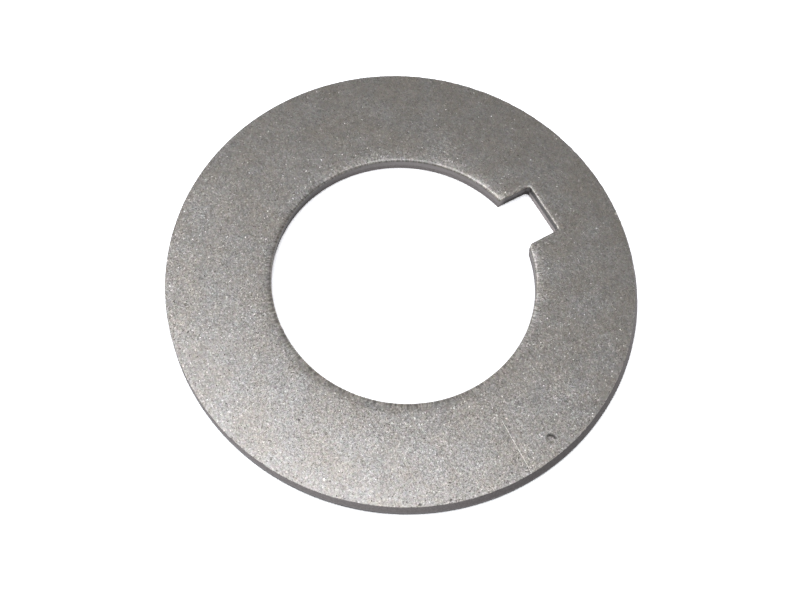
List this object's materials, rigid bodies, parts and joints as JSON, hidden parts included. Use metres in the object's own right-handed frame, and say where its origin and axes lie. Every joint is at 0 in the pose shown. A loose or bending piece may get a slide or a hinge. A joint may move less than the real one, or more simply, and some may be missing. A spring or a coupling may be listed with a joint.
{
  "type": "shim washer",
  "caption": "Flat round steel shim washer with a plain bore and one square keyway cut into the bore's edge.",
  "frame": {"origin": "on the bore's axis, in the plane of the back face that the washer rests on", "axes": "+Z along the bore's axis, out of the face with the die roll round the bore; keyway along +Y"},
  "size_m": [0.05, 0.05, 0.002],
  "materials": {
    "steel": "bare steel with a fine tumbled grain, burnished band and rough fracture zone on the sheared walls"
  },
  "bodies": {
    "root": {"washer": "steel"}
  },
  "joints": []
}
